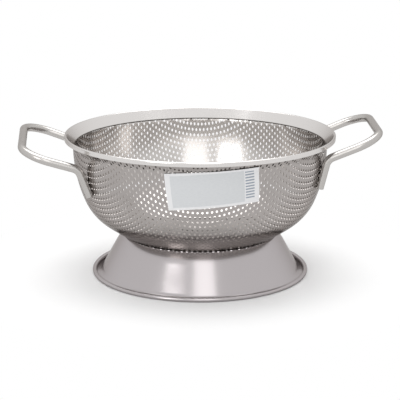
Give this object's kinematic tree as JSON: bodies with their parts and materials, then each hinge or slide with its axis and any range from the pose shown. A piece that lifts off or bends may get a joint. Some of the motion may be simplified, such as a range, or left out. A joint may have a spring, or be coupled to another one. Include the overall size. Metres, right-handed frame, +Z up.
{
  "type": "colander",
  "caption": "Round stainless steel colander: perforated bowl with a plain rim ring on a conical ring foot, with a bent rod handle on each side.",
  "frame": {"origin": "centre of the bounding box at the table, under the bowl's centre", "axes": "+X across the two handles, towards the right-hand one seen from the labelled front; +Y towards the back; +Z up"},
  "size_m": [0.3478, 0.26, 0.1459],
  "materials": {
    "bowl_steel": "satin-polished stainless steel",
    "rim_steel": "polished stainless steel",
    "foot_steel": "mirror-polished stainless steel",
    "handle_steel": "polished stainless steel rod",
    "weld_steel": "bare weld metal",
    "label_paper": "matt printed-paper sticker, left bare"
  },
  "bodies": {
    "root": {"bowl": "bowl_steel", "rim": "rim_steel", "foot": "foot_steel", "handle_left": "handle_steel", "handle_right": "handle_steel", "handle_welds": "weld_steel", "foot_welds": "weld_steel", "label": "label_paper"}
  },
  "joints": []
}
